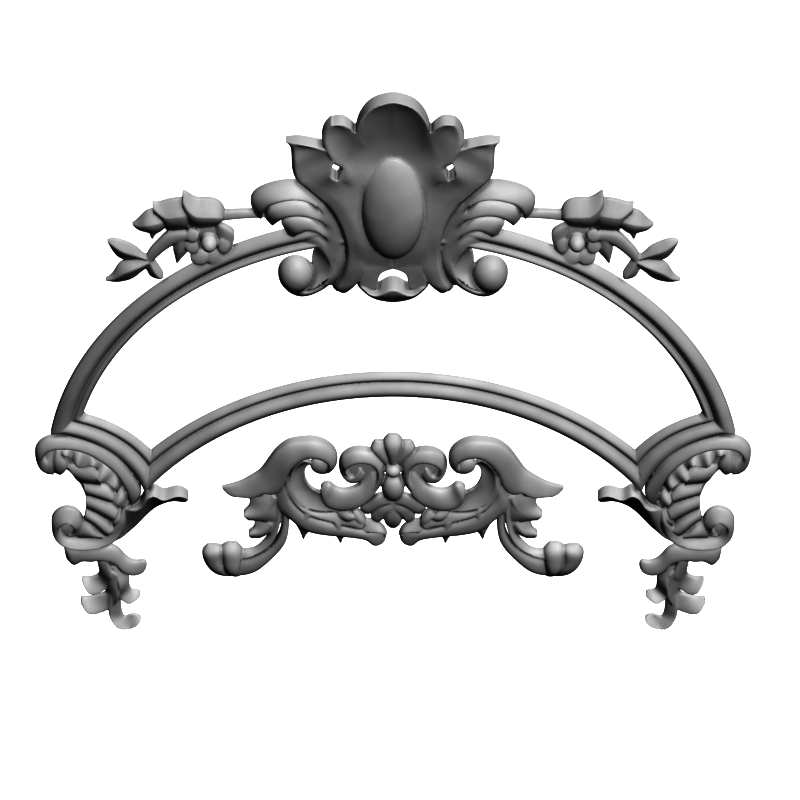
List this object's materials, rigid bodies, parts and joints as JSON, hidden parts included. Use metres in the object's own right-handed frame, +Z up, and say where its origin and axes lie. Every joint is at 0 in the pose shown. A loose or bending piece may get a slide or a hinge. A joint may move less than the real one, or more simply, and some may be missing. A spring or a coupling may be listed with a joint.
{
  "type": "carved overdoor onlay",
  "caption": "Carved overdoor onlay: arched crescent frame with cartouche crest, flower sprays, shell scroll corners, pendants and a separate centre scroll ornament.",
  "frame": {"origin": "on the flat back of the crest, on its middle line behind the cartouche", "axes": "+Z up, -Y out of the carved front, +Y into the wall or door panel it is fixed on, X across; the onlay is the same left and right of x = 0"},
  "size_m": [1.0032, 0.042, 1.0212],
  "materials": {
    "primed_wood": "carved wood under a satin mid-grey primer, one even colour all over"
  },
  "bodies": {
    "root": {"crest": "primed_wood", "centre_ornament": "primed_wood"}
  },
  "joints": []
}
